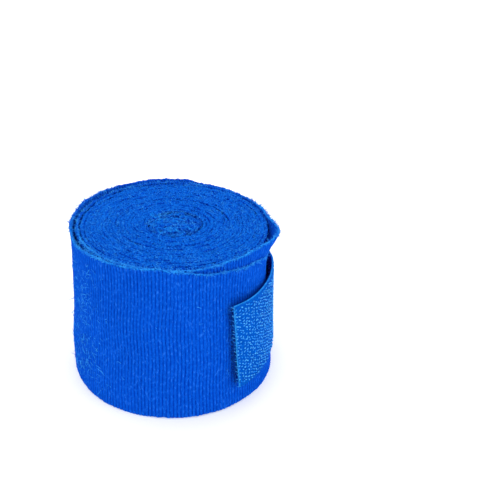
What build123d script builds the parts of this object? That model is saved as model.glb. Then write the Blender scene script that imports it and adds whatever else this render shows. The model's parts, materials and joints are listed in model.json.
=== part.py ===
"""A rolled hand wrap: a 3 m elastic band wound on its own folded end, closed by a hook-tape tab.

The roll stands on its end. Its axis is +Z and the origin is the middle of the face it stands on.
Bearings are measured in degrees from -Y (the front) towards +X (the right-hand side). The band winds
outwards clockwise as seen from above, so the bearing falls along the band towards its free end.
All lengths are in millimetres.
"""

from build123d import *
import os
from math import atan, atan2, cos, degrees, radians, sin

# The band
BAND_WIDTH = 50.0
BAND_THICKNESS = 0.95
TURN_PITCH = 1.03  # radial growth in one turn: the band and the air between two turns
CORE_RADIUS = 8.75  # centre line of the first half turn, round the folded inner end
INNER_HALF_TURNS = 42
OUTER_HALF_TURNS = 2
OUTER_TOP_ON_AXIS = 49.8  # the outermost turn sits lower towards the right, along this sloping line
OUTER_TOP_SLOPE = 0.1

# The inner end, folded three times inside the first turn; the last fold holds the thumb loop
ENTRY_RADIUS = 5.6
TIGHT_FOLD_RADIUS = 1.4
WIDE_FOLD_RADIUS = 2.75
CORE_RUNS = (5.4, 7.5, 9.0, 7.0)

# The thumb loop, a narrow tape folded flat in the core
LOOP_TAPE_WIDTH = 10.0
LOOP_TAPE_THICKNESS = 0.45
LOOP_SLIT = 0.05  # what is left of the opening while the loop lies flat
LOOP_FOLD_RADIUS = 0.575
LOOP_START = 3.6  # where its sewn end lies, to the right of the axis
LOOP_RUNS = (6.3, 7.1, 8.1, 7.5)
BARTACK_BARS = 3
BARTACK_START = 1.6
BARTACK_SPACING = 0.8
BARTACK_MARGIN = 1.0
BAR_WIDTH = 0.3
BAR_DEPTH = 0.14
BAR_GAP = 0.02

# The tail: the last stretch of the band, free to unwind
PEEL_BEARING = 213.0
PEEL_GAP = 0.4  # between the wound turns and the tail where the tail lifts off
TAIL_STEP = 25.0  # bearing covered by one flexible section
TAIL_SECTIONS = 3
HEM_STEP = 35.0  # bearing covered by the stiff sewn end
TAIL_CLEARANCE = 0.25
HEM_DEPTH = 12.0  # how far the folded-in hem reaches back from the end edge
LAYER_GAP = 0.05
SECTION_GAP = 0.2

# The hook tape
TAPE_WIDTH = 30.0
TAPE_BOTTOM = 7.5
TAPE_THICKNESS = 0.7
HOOK_HEIGHT = 0.8
HOOK_GAP = 0.01  # between the hooks and the tape they stand on
HOOK_INSET = 0.8
HOOK_CLEARANCE = 0.2
TAB_STEPS = (22.0, 24.0)  # bearings covered by the tab's first two sections
TIP_BEARING_TOP = 30.0
TIP_BEARING_BOTTOM = 36.0
TIP_PIVOT_RADIUS = 28.0  # distance from the axis about which the slanted cut is tilted
TIP_CUTTER_SIZE = 40.0
RAMP_STEP = 12.0  # bearing over which the tape rises onto its hooks

# The box of stitches that holds tape, hem and band together
THREAD_PROUD = 0.2
STITCH_LINE = 0.6
STITCH_INSET = 2.5
STITCH_MARGIN = 5.5

HALF_PITCH = TURN_PITCH / 2
HALF_BAND = BAND_THICKNESS / 2
LOOP_FLAT_THICKNESS = 2 * LOOP_TAPE_THICKNESS + LOOP_SLIT


def at_bearing(radius, bearing):
    """The point in plan at that distance from the roll's axis and that bearing."""
    return (radius * sin(radians(bearing)), -radius * cos(radians(bearing)))


class StripPath:
    """The centre line of a strip seen edge-on: straight runs joined by tangent arcs."""

    def __init__(self, x, y, heading):
        self.x, self.y, self.heading = x, y, heading
        self.length = 0.0
        self.steps = []

    def _left(self):
        return -sin(radians(self.heading)), cos(radians(self.heading))

    def run(self, length):
        """Goes straight on."""
        start, normal = (self.x, self.y), self._left()
        self.x += length * cos(radians(self.heading))
        self.y += length * sin(radians(self.heading))
        self.length += length
        self.steps.append(("run", start, (self.x, self.y), normal))
        return self

    def turn(self, radius, angle):
        """Follows an arc through that angle, to the left if it is positive and to the right if not."""
        side = 1 if angle > 0 else -1
        nx, ny = self._left()
        centre = (self.x + side * radius * nx, self.y + side * radius * ny)
        first = degrees(atan2(self.y - centre[1], self.x - centre[0]))
        self.steps.append(("turn", centre, radius, side, first, angle))
        self.heading += angle
        last = radians(first + angle)
        self.x = centre[0] + radius * cos(last)
        self.y = centre[1] + radius * sin(last)
        self.length += radius * radians(abs(angle))
        return self

    def edge(self, offset):
        """The line at that distance to the left of the centre line, as edges in order."""
        edges = []
        for step in self.steps:
            if step[0] == "run":
                _, start, end, (nx, ny) = step
                shift = Vector(offset * nx, offset * ny)
                edges.append(Line(Vector(*start) + shift, Vector(*end) + shift))
            else:
                _, (cx, cy), radius, side, first, angle = step
                r = radius - side * offset
                angles = [radians(first + angle * share) for share in (0, 0.5, 1)]
                edges.append(ThreePointArc(*[(cx + r * cos(a), cy + r * sin(a)) for a in angles]))
        return edges

    def face(self, thickness):
        """The strip's plan, square at both ends."""
        left, right = self.edge(thickness / 2), self.edge(-thickness / 2)
        caps = [Line(left[0] @ 0, right[0] @ 0), Line(left[-1] @ 1, right[-1] @ 1)]
        return make_face(left + right + caps)


def spiral_path(first, count, extra=0.0):
    """Half turns of the wound band, numbered from the core, then that many degrees of the next one.
    Half turns with even numbers pass behind the axis and odd ones pass in front, about two centres
    half a pitch apart, which makes the turns lie evenly."""
    side = 1 if first % 2 == 0 else -1
    radius = CORE_RADIUS + first * HALF_PITCH
    path = StripPath(side * (HALF_PITCH / 2 - radius), 0, 90 * side)
    for _ in range(count):
        path.turn(radius, -180)
        radius += HALF_PITCH
    if extra:
        path.turn(radius, -extra)
    return path


def core_path():
    """The band's folded inner end, from the first half turn inwards."""
    path = StripPath(HALF_PITCH / 2 - CORE_RADIUS, 0, -90)
    path.turn(ENTRY_RADIUS, 90).run(CORE_RUNS[0])
    path.turn(TIGHT_FOLD_RADIUS, 180).run(CORE_RUNS[1])
    path.turn(TIGHT_FOLD_RADIUS, -180).run(CORE_RUNS[2])
    path.turn(WIDE_FOLD_RADIUS, 180).run(CORE_RUNS[3])
    return path


def band_inner_turns():
    """The folded inner end and the turns wound on it."""
    core = extrude(core_path().face(BAND_THICKNESS), BAND_WIDTH)
    turns = extrude(spiral_path(0, INNER_HALF_TURNS).face(BAND_THICKNESS), BAND_WIDTH)
    return core + turns


def above_sloping_edge():
    """The space above the top edge of the outermost turn, to cut its pieces with."""
    size = 4 * BAND_WIDTH
    block = Pos(0, 0, size / 2) * Box(size, size, size)
    return Pos(0, 0, OUTER_TOP_ON_AXIS) * (Rot(0, degrees(atan(OUTER_TOP_SLOPE)), 0) * block)


def band_outer_turn():
    """The outermost turn, up to the line where the tail lifts off."""
    radius = CORE_RADIUS + (INNER_HALF_TURNS + OUTER_HALF_TURNS) * HALF_PITCH
    extra = 270 - PEEL_BEARING - degrees(PEEL_GAP / radius)
    path = spiral_path(INNER_HALF_TURNS, OUTER_HALF_TURNS, extra)
    return extrude(path.face(BAND_THICKNESS), BAND_WIDTH) - above_sloping_edge()


def loop_path(trim):
    """The flattened thumb loop's centre line, shorter by trim at both ends."""
    end_run_y = 4 * TIGHT_FOLD_RADIUS + 2 * WIDE_FOLD_RADIUS - ENTRY_RADIUS
    start_y = end_run_y - HALF_BAND - LAYER_GAP - LOOP_FLAT_THICKNESS / 2
    path = StripPath(LOOP_START - trim, start_y, 180)
    path.run(LOOP_RUNS[0] - trim).turn(LOOP_FOLD_RADIUS, 180)
    path.run(LOOP_RUNS[1]).turn(LOOP_FOLD_RADIUS, -180)
    path.run(LOOP_RUNS[2]).turn(LOOP_FOLD_RADIUS, 180)
    return path.run(LOOP_RUNS[3] - trim)


def thumb_loop():
    """The loop of narrow tape sewn to the band's inner end, lying flat in the back fold."""
    plan = loop_path(0).face(LOOP_FLAT_THICKNESS) - loop_path(LOOP_TAPE_THICKNESS).face(LOOP_SLIT)
    base = (BAND_WIDTH - LOOP_TAPE_WIDTH) / 2
    return Pos(0, 0, base) * extrude(plan, LOOP_TAPE_WIDTH)


def thumb_loop_bartack():
    """Bars of thread across the loop's sewn end."""
    _, first_run_start, _, _ = loop_path(0).steps[0]
    y = first_run_start[1] - LOOP_FLAT_THICKNESS / 2 - BAR_GAP - BAR_DEPTH / 2
    bar = Box(BAR_WIDTH, BAR_DEPTH, LOOP_TAPE_WIDTH - 2 * BARTACK_MARGIN)
    bars = [Pos(BARTACK_START + i * BARTACK_SPACING, y, BAND_WIDTH / 2) * bar for i in range(BARTACK_BARS)]
    return Compound(children=bars)


def roll_surface(bearing):
    """Distance from the axis to the outside of the wound band under the tail and the tab."""
    behind = 90 < bearing < 270
    half_turn = INNER_HALF_TURNS if behind else INNER_HALF_TURNS + 1
    radius = CORE_RADIUS + half_turn * HALF_PITCH + HALF_BAND
    shift = HALF_PITCH / 2 if behind else -HALF_PITCH / 2
    return radius + shift * sin(radians(bearing))


def eased(share):
    """A smooth rise from 0 to 1."""
    share = min(1.0, max(0.0, share))
    return share * share * (3 - 2 * share)


HEM_START = PEEL_BEARING - TAIL_SECTIONS * TAIL_STEP
END_BEARING = HEM_START - HEM_STEP
TAPE_LIFT = TAPE_THICKNESS + LAYER_GAP
HEM_LIFT = BAND_THICKNESS + LAYER_GAP


def tail_inside(bearing):
    """Inner face of the tail's band. It rises over the tape and the hem as it nears the sewn end."""
    rise = eased((PEEL_BEARING - bearing) / (PEEL_BEARING - HEM_START))
    return roll_surface(bearing) + TAIL_CLEARANCE + rise * (TAPE_LIFT + HEM_LIFT)


def tape_inside(bearing):
    """Inner face of the hook tape. It lies near the roll where it is sewn and rises onto its hooks."""
    rise = eased((END_BEARING - bearing) / RAMP_STEP)
    return roll_surface(bearing) + TAIL_CLEARANCE + rise * (HOOK_HEIGHT + HOOK_CLEARANCE - TAIL_CLEARANCE)


def curved_slab(inner, thickness, start, end, bottom, top):
    """A slab bent round the roll between two bearings, its inner face at the distance inner(bearing)."""
    middle = (start + end) / 2
    bearings = (start, middle, end)
    inside = [at_bearing(inner(b), b) for b in bearings]
    outside = [at_bearing(inner(b) + thickness, b) for b in bearings]
    outline = [
        ThreePointArc(*inside),
        ThreePointArc(*outside),
        Line(inside[0], outside[0]),
        Line(inside[2], outside[2]),
    ]
    return Pos(0, 0, bottom) * extrude(make_face(outline), top - bottom)


def gap_angle(radius):
    """Half of the gap between two sections, as a bearing."""
    return degrees(SECTION_GAP / 2 / radius)


def tail_section(index):
    """A flexible section of the tail, counted from the roll."""
    start = PEEL_BEARING - index * TAIL_STEP
    half_gap = gap_angle(tail_inside(start))
    end = start - TAIL_STEP + half_gap
    section = curved_slab(tail_inside, BAND_THICKNESS, start - half_gap, end, 0, BAND_WIDTH)
    return section - above_sloping_edge()


def tail_hem_end():
    """The band's end: the outer layer, and the hem folded in under it."""
    half_gap = gap_angle(tail_inside(HEM_START))
    outer = curved_slab(tail_inside, BAND_THICKNESS, HEM_START - half_gap, END_BEARING, 0, BAND_WIDTH)

    def hem_inside(bearing):
        return tail_inside(bearing) - HEM_LIFT

    hem_angle = degrees(HEM_DEPTH / tail_inside(END_BEARING))
    hem = curved_slab(hem_inside, BAND_THICKNESS, END_BEARING + hem_angle, END_BEARING, 0, BAND_WIDTH)
    fold_angle = degrees(BAND_THICKNESS / tail_inside(END_BEARING))
    depth = HEM_LIFT + BAND_THICKNESS / 2
    fold = curved_slab(hem_inside, depth, END_BEARING + fold_angle, END_BEARING, 0, BAND_WIDTH)
    return outer + hem + fold - above_sloping_edge()


def hook_tape_root():
    """The hook tape's sewn end, under the hem."""
    half_gap = gap_angle(tape_inside(END_BEARING))
    return curved_slab(
        tape_inside,
        TAPE_THICKNESS,
        HEM_START - 2 * STITCH_INSET,
        END_BEARING + half_gap,
        TAPE_BOTTOM,
        TAPE_BOTTOM + TAPE_WIDTH,
    )


def tab_bearings():
    """Where each section of the tab starts and ends."""
    first = END_BEARING - TAB_STEPS[0]
    second = first - TAB_STEPS[1]
    return [(END_BEARING, first), (first, second), (second, TIP_BEARING_TOP)]


def tip_cutter():
    """A wedge over the tab's tip. Its slanted face is the line along which the tape was cut."""
    middle_height = TAPE_BOTTOM + TAPE_WIDTH / 2
    middle_bearing = (TIP_BEARING_TOP + TIP_BEARING_BOTTOM) / 2
    slant = radians(TIP_BEARING_BOTTOM - TIP_BEARING_TOP) * tape_inside(middle_bearing)
    angle = degrees(atan2(slant, TAPE_WIDTH))
    size = TIP_CUTTER_SIZE
    block = Pos(-size / 2, -size / 2, 0) * Box(size, size, 2 * TAPE_WIDTH)
    tilted = Rot(0, -angle, 0) * block
    x, y = at_bearing(TIP_PIVOT_RADIUS, middle_bearing)
    return Pos(x, y, middle_height) * (Rot(0, 0, middle_bearing) * tilted)


def hook_tape_section(index):
    """A section of the tab's woven tape, counted from the sewn end."""
    start, end = tab_bearings()[index]
    half_gap = gap_angle(tape_inside(start))
    last = index == len(TAB_STEPS)
    section = curved_slab(
        tape_inside,
        TAPE_THICKNESS,
        start - half_gap,
        end if last else end + half_gap,
        TAPE_BOTTOM,
        TAPE_BOTTOM + TAPE_WIDTH,
    )
    return section - tip_cutter() if last else section


def hook_pile(index):
    """The hooks under a section of the tab, as one block of their height."""
    start, end = tab_bearings()[index]
    if index == 0:
        start = END_BEARING - RAMP_STEP
    inset_angle = degrees(HOOK_INSET / tape_inside(end))
    last = index == len(TAB_STEPS)

    def hooks_inside(bearing):
        return tape_inside(bearing) - HOOK_HEIGHT

    pile = curved_slab(
        hooks_inside,
        HOOK_HEIGHT - HOOK_GAP,
        start - inset_angle,
        end + inset_angle,
        TAPE_BOTTOM + HOOK_INSET,
        TAPE_BOTTOM + TAPE_WIDTH - HOOK_INSET,
    )
    return pile - tip_cutter() if last else pile


def box_stitching():
    """The four lines of thread round the sewn end, on the band's outer face."""
    outside = tail_inside(END_BEARING) + BAND_THICKNESS
    inset = degrees(STITCH_INSET / outside)
    line = degrees(STITCH_LINE / outside)
    start, end = HEM_START - inset, END_BEARING + inset
    low, high = STITCH_MARGIN, BAND_WIDTH - STITCH_MARGIN

    def thread_inside(bearing):
        return tail_inside(bearing) + BAND_THICKNESS + LAYER_GAP

    spans = [
        (start, start - line, low, high),
        (end + line, end, low, high),
        (start - 2 * line, end + 2 * line, low, low + STITCH_LINE),
        (start - 2 * line, end + 2 * line, high - STITCH_LINE, high),
    ]
    return Compound(children=[curved_slab(thread_inside, THREAD_PROUD, *span) for span in spans])


def hinge_points():
    """Each hinge's place in plan, in metres: on the outer face of the strip that bends there."""
    points = {}
    for i in range(TAIL_SECTIONS + 1):
        bearing = PEEL_BEARING - i * TAIL_STEP
        points[f"tail {i + 1}"] = at_bearing(tail_inside(bearing) + BAND_THICKNESS, bearing)
    for i, (start, _) in enumerate(tab_bearings()):
        points[f"tab {i + 1}"] = at_bearing(tape_inside(start) + TAPE_THICKNESS, start)
    return {name: [round(c / 1000, 6) for c in point] for name, point in points.items()}


def main():
    """Builds every piece and writes one STEP file for each."""
    os.makedirs("parts", exist_ok=True)
    pieces = {
        "band_inner_turns": band_inner_turns(),
        "band_outer_turn": band_outer_turn(),
        "thumb_loop": thumb_loop(),
        "thumb_loop_bartack": thumb_loop_bartack(),
        "tail_hem_end": tail_hem_end(),
        "hook_tape_root": hook_tape_root(),
        "box_stitching": box_stitching(),
    }
    for i in range(TAIL_SECTIONS):
        pieces[f"tail_section_{i + 1}"] = tail_section(i)
    for i in range(len(TAB_STEPS) + 1):
        pieces[f"hook_tape_section_{i + 1}"] = hook_tape_section(i)
        pieces[f"hook_pile_{i + 1}"] = hook_pile(i)
    for name, piece in pieces.items():
        export_step(piece, f"parts/{name}.step")

    half_turns = INNER_HALF_TURNS + OUTER_HALF_TURNS
    wound = core_path().length + spiral_path(0, half_turns, 270 - PEEL_BEARING).length
    tail = radians(PEEL_BEARING - END_BEARING) * tail_inside(END_BEARING) + HEM_DEPTH
    print(f"band length {wound + tail:.0f} mm, thumb loop {2 * loop_path(0).length:.0f} mm round")
    print("hinge points in metres:", hinge_points())


main()
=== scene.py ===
"""The looks of a rolled hand wrap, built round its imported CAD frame.

The roll stands on its end with its axis on +Z. Bearings are in degrees from -Y (the front) towards +X (the
right). The band winds outwards clockwise as seen from above, so the bearing falls along it. A place on the
band is a number of turns from its folded core: turn 0 is at the left, and the bearing is 270 - 360 * turn.
Shapes are worked out in millimetres and turned into metres when a mesh is made.
"""

import json
from math import atan2, cos, degrees, pi, radians, sin

import bpy
import numpy as np
from mathutils import Matrix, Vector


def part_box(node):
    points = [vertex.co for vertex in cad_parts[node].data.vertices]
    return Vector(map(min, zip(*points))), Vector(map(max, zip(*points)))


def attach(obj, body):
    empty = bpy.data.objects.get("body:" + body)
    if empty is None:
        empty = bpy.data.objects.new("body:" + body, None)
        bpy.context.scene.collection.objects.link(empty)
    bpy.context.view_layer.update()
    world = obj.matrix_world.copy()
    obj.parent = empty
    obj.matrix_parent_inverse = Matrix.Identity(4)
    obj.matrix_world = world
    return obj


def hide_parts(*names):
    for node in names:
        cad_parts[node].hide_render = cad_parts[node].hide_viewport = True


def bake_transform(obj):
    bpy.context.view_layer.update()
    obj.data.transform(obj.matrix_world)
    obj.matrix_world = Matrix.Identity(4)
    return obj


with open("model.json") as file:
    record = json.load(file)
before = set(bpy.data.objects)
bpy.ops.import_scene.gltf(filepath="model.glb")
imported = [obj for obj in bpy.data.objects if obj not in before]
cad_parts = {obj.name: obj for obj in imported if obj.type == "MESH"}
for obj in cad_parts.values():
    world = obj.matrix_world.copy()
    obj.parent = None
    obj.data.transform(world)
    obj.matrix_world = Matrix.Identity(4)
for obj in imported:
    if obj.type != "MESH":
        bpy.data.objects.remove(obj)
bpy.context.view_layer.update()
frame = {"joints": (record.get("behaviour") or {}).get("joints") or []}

METRES = 0.001

# The band
BAND_THICKNESS = 0.86
HALF_BAND = BAND_THICKNESS / 2
NEAT_THICKNESS = 1.07  # the neat turns' felted edges press on each other
RIB_PITCH = 1.01
RIB_DEPTH = 0.22
COLUMNS_PER_RIB = 6
NEAT_TOP = 49.0
LOWEST = 0.03  # nothing reaches under the floor

# The winding: an even spiral, and how far the loose outer turns leave it
FIRST_RADIUS = 8.9
TURN_PITCH = 0.977
SIDE_SHIFT = 0.03  # each turn lies that much further to the right
LOOSENESS = (
    ((14.0, 0.0), (19.5, -0.4), (19.8, -0.36), (20.0, -0.15), (20.25, 0.0))
    + ((20.5, -0.4), (20.75, 0.5), (21.0, 0.4), (21.25, 0.6), (21.5, -0.75))
    + ((21.75, 0.45), (22.0, 0.85), (22.16, 0.8), (22.25, 0.6), (22.35, 0.3), (22.464, 0.28))
)
# The height of the band's top edge: even on the neat turns, up and down on the two loose ones
TOP_EDGE = (
    ((19.2, 49.0), (19.6, 48.4), (19.8, 48.4), (20.0, 48.8), (20.25, 49.0))
    + ((20.42, 49.7), (20.55, 50.5), (20.62, 50.0), (20.75, 49.6), (21.0, 49.2), (21.25, 49.3))
    + ((21.42, 45.0), (21.5, 43.0), (21.565, 44.2), (21.61, 46.1), (21.69, 47.8))
    + ((21.75, 49.7), (21.775, 50.5), (21.86, 49.5), (21.95, 48.3), (21.985, 49.9))
    + ((22.1, 50.0), (22.25, 49.8), (22.33, 48.5), (22.464, 46.0))
)
# How far the roll's right side stands out at each height
RIGHT_SIDE = ((0.0, -0.2), (5.0, -0.25), (9.0, -0.55), (18.0, -1.0), (40.5, -0.9), (47.5, 0.0))

# The folded inner end
CORE_RADIUS = 7.9
CORE_FOLD_RADIUS = 0.8
LOOP_FOLD_RADIUS = 1.35  # the fold that the thumb loop lies in
LOOP_ROW = 7
CORE_ROWS = 9
CORE_THICKNESS = 1.5
CRUMPLE_SIZE = 4.5  # the distance over which the folds wander

# The hook tape
TAPE_THICKNESS = 0.7
HALF_TAPE = TAPE_THICKNESS / 2
TAPE_BOTTOM = 8.6
TAPE_TOP = 37.3
TIP_BEARING = 29.8
TIP_SLANT = 3.2  # the tip's lower corner is cut back by that bearing
ROOT_BEARING = 132.0
HEM_DEPTH = 12.0
HEM_FOLD_RADIUS = 0.48
HOOK_PITCH = 1.35
YARN_PITCH = 1.1

# Degrees of bearing in a millimetre along the tape, at its slanted tip and along the band's end
TAPE_RADIUS = 31.0
DEGREES_ON_TAPE = degrees(1 / TAPE_RADIUS)
DEGREES_AT_TIP = degrees(1 / 33)
DEGREES_ON_TAIL = degrees(1 / 32)

# Where the band is divided, in turns, and the laps that its tail and the hook tape lie on
WOUND_SPLIT = 14.0
OUTER_START = 20.2
LAST_START = 21.2
LAST_LAP = 22
TAPE_LAP = 21
HALF_SECTION = 12.5  # half the bearing that one section of the tail covers
HEM_FLEX = (148.0, 133.5)  # two bearings on the sewn end; the stitch box's side is set from the second

# Loose fibres
NEAT_FIBRES = 6300
RIM_FIBRES = 4700
CORE_FIBRES = 1000
WALL_FIBRES = 520
STRAY_FIBRES = 30  # how many of the wall's lie away from its rubbed stripe at the left

NOISE_CELLS = 127
HIDDEN_ROWS = (0.0, 0.06, 0.5, 0.93, 1.0)
WALL_ROWS = np.linspace(0, 1, 21)
HIDDEN_STEP = 0.42
WALL_STEP = RIB_PITCH / COLUMNS_PER_RIB


def smooth(share):
    """A smooth rise from 0 to 1."""
    share = np.clip(share, 0.0, 1.0)
    return share * share * (3 - 2 * share)


def bump_at(value, centre, reach):
    """1 at the centre, falling smoothly to 0 at that distance from it."""
    return smooth(1 - np.abs(value - centre) / reach)


def noise(seed, a, b=0.0):
    """Smooth noise between -1 and 1 over one or two coordinates, with features about one unit across."""
    table = np.random.default_rng(seed).uniform(-1, 1, (NOISE_CELLS, NOISE_CELLS))
    a, b = np.broadcast_arrays(np.asarray(a, float), np.asarray(b, float))
    i, j = np.floor(a).astype(int), np.floor(b).astype(int)
    across, along = smooth(a - i), smooth(b - j)

    def cell(di, dj):
        return table[(i + di) % NOISE_CELLS, (j + dj) % NOISE_CELLS]

    near = cell(0, 0) * (1 - across) + cell(1, 0) * across
    far = cell(0, 1) * (1 - across) + cell(1, 1) * across
    return near * (1 - along) + far * along


def between(value, knots):
    """The smooth line through listed (place, amount) pairs."""
    places = np.array([k[0] for k in knots])
    amounts = np.array([k[1] for k in knots])
    i = np.clip(np.searchsorted(places, value) - 1, 0, len(places) - 2)
    share = smooth((value - places[i]) / (places[i + 1] - places[i]))
    return amounts[i] + (amounts[i + 1] - amounts[i]) * share


def bearing(turn):
    """The bearing of a place on the band, from -180 to 180."""
    return (90 - 360 * np.asarray(turn)) % 360 - 180


def turn_at(bearing_there, lap):
    """The place on the band at that bearing, on the lap that starts at the left with that many turns."""
    return lap + (270 - bearing_there) / 360


def joint_bearings(prefix):
    """The bearings of the hinges whose names start like that, in order along the strip."""
    joints = [j for j in frame["joints"] if j["name"].startswith(prefix)]
    return [degrees(atan2(j["pos_m"][0], -j["pos_m"][1])) % 360 for j in joints]


TAIL_HINGES = joint_bearings("tail")
TAB_HINGES = joint_bearings("tab")
END_BEARING = TAB_HINGES[0]
END_TURN = turn_at(END_BEARING, LAST_LAP)


# ------ the wound band


def middle_radius(turn):
    """Distance from the axis to the middle of the band's thickness, near the roll's top."""
    loose = between(turn, LOOSENESS)
    return FIRST_RADIUS + TURN_PITCH * turn + SIDE_SHIFT * turn * np.sin(np.radians(bearing(turn))) + loose


def foot(turn, z):
    """How far the loose turns spread towards the floor, and the sag low on the left."""
    outer = np.clip(turn / 21, 0, 1.1) ** 3
    spread = 1.8 + 0.3 * np.sin(np.radians(bearing(turn) + 20))
    sag = 0.4 * bump_at(z, 11, 14) * bump_at(bearing(turn), -85, 55) * outer**2
    return spread * np.clip((44 - z) / 44, 0, 1) ** 1.35 * outer + sag


def waist(turn, z):
    """How far the right side is drawn in under the rim."""
    return between(z, RIGHT_SIDE) * bump_at(bearing(turn), 86, 44) * np.clip(turn / 21, 0, 1.1) ** 6


def rims(turn, z):
    """How far the second layer's ear and the last turn's lip turn out, and how far the last neat turn
    settles outwards under its rim."""
    ear = 3.2 * smooth((z - 42.5) / 9) * bump_at(bearing(turn), 72, 27) * bump_at(turn, 20.54, 0.2)
    lip = 0.35 * smooth((z - 46) / 5) * smooth((turn - 21.3) / 0.3)
    settled = 0.8 * smooth((45.5 - z) / 5) * bump_at(turn, 19.85, 0.28)
    return settled + ear + lip


def pinched(turn, z):
    """How far the last turn is drawn in beside the sewn end, under the tape."""
    height = smooth((44.5 - z) / 4) * smooth((z - 8) / 12)
    on_last = smooth((turn - 20.3) / 0.2) * smooth((22 - turn) / 0.2)
    return 1.3 * height * bump_at(bearing(turn), 88, 27) * on_last


def slump(turn, z, pinch=1.0):
    """How far the roll's slack shape stands out from the spiral at that height."""
    return foot(turn, z) + waist(turn, z) + rims(turn, z) - pinch * pinched(turn, z)


def top_edge(turn, along):
    """Height of the band's top edge."""
    ragged = 0.16 * noise(3, along / 5.5) + 0.12 * noise(4, along / 1.4) + 0.1 * noise(28, along / 0.6)
    neat = smooth((20.4 - turn) / 0.5)
    uneven = 0.25 * noise(5, turn * 3.1) * neat
    core_dip = -0.25 * smooth((3.5 - turn) / 3.5)
    return between(turn, TOP_EDGE) + ragged + uneven + core_dip


def bottom_edge(along):
    """Height of the band's bottom edge."""
    return LOWEST + 0.25 + 0.2 * noise(6, along / 7) + 0.05 * noise(7, along / 1.3)


class Spiral:
    """Length along the wound band against turns, to space its ribs evenly."""

    turns = np.linspace(0, END_TURN, 6001)
    radii = middle_radius(turns)
    x = radii * np.sin(np.radians(bearing(turns)))
    y = -radii * np.cos(np.radians(bearing(turns)))
    lengths = np.concatenate([[0], np.cumsum(np.hypot(np.diff(x), np.diff(y)))])

    @classmethod
    def along(cls, turn):
        """Length from the core, rounded to the nearest groove between two ribs."""
        return RIB_PITCH * round(float(np.interp(turn, cls.turns, cls.lengths)) / RIB_PITCH)


class Path:
    """Stations along a strip seen edge-on: points, normals to the left or outwards, lengths and turns."""

    def __init__(self, points, normals, along, turns):
        self.points, self.normals, self.along, self.turns = points, normals, along, turns

    @property
    def length(self):
        """Length from the first station to the last, in metres."""
        return float(self.along[-1] - self.along[0]) * METRES


def outwards(bearings):
    """Directions away from the roll's axis."""
    angle = np.radians(bearings)
    return np.stack([np.sin(angle), -np.cos(angle)], axis=1)


def wound_path(first, last, step):
    """Stations on the spiral between two places on the band."""
    start, end = Spiral.along(first), Spiral.along(last)
    along = np.linspace(start, end, max(2, round((end - start) / step)) + 1)
    turns = np.interp(along, Spiral.lengths, Spiral.turns)
    outward = outwards(bearing(turns))
    return Path(outward * middle_radius(turns)[:, None], outward, along, turns)


def drawn_path(points, step, turns=None, start=0.0):
    """Stations along a polyline, with normals to its left."""
    points = np.asarray(points, float)
    lengths = np.concatenate([[0], np.cumsum(np.hypot(*np.diff(points, axis=0).T))])
    along = np.linspace(0, lengths[-1], max(2, round(lengths[-1] / step)) + 1)
    x, y = (np.interp(along, lengths, points[:, k]) for k in (0, 1))
    dx, dy = np.gradient(x), np.gradient(y)
    size = np.hypot(dx, dy)
    normals = np.stack([-dy / size, dx / size], axis=1)
    on_turns = np.zeros_like(along) if turns is None else np.interp(along, lengths, turns)
    return Path(np.stack([x, y], axis=1), normals, along + start, on_turns)


# ------ meshes


def quad_object(name, points, faces, pattern, material, edge=None):
    """An object from points in millimetres and faces of four corners. The pattern is each point's place on
    the flat strip, which the materials' weave and stitching follow, and edge is 1 along a strip's edges."""
    mesh = bpy.data.meshes.new(name)
    mesh.vertices.add(len(points))
    mesh.vertices.foreach_set("co", (points * METRES).astype(np.float32).ravel())
    mesh.loops.add(faces.size)
    mesh.loops.foreach_set("vertex_index", faces.astype(np.int32).ravel())
    mesh.polygons.add(len(faces))
    mesh.polygons.foreach_set("loop_start", np.arange(0, faces.size, 4, dtype=np.int32))
    attribute = mesh.attributes.new("strip", "FLOAT_VECTOR", "POINT")
    attribute.data.foreach_set("vector", pattern.astype(np.float32).ravel())
    if edge is not None:
        attribute = mesh.attributes.new("edge", "FLOAT", "POINT")
        attribute.data.foreach_set("value", edge.astype(np.float32).ravel())
    mesh.update(calc_edges=True)
    mesh.validate()
    mesh.shade_smooth()
    mesh.materials.append(material)
    made = bpy.data.objects.new(name, mesh)
    bpy.context.scene.collection.objects.link(made)
    return made


def swept_faces(stations, around):
    """Faces of a closed outline swept along its stations, with both ends closed."""
    i, j = np.meshgrid(np.arange(stations - 1), np.arange(around), indexing="ij")
    nxt = (j + 1) % around
    sides = np.stack([i * around + j, i * around + nxt, (i + 1) * around + nxt, (i + 1) * around + j], -1)
    k = np.arange(around // 2 - 1)
    cap = np.stack([k, around - 1 - k, around - 2 - k, k + 1], -1)
    far = cap[:, ::-1] + (stations - 1) * around
    return np.concatenate([sides.reshape(-1, 4), cap, far])


ROUNDED_TO = 78  # degrees: the rounded edge stops short of a point, so that it can be closed by a face


def half_outline(rows, arc):
    """One face of a strip's cross-section from its bottom to its top: where each point lies between the
    edges (0 to 1), how far it is raised by the rounding, and its share of half the thickness."""
    turn = np.radians(np.linspace(0, ROUNDED_TO, arc + 1)[1:])
    share = np.concatenate([np.zeros(arc), rows, np.ones(arc)])
    raised = np.concatenate([-np.sin(turn[::-1]), np.zeros(len(rows)), np.sin(turn)])
    side = np.concatenate([np.cos(turn[::-1]), np.ones(len(rows)), np.cos(turn)])
    return share, raised, side


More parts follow.
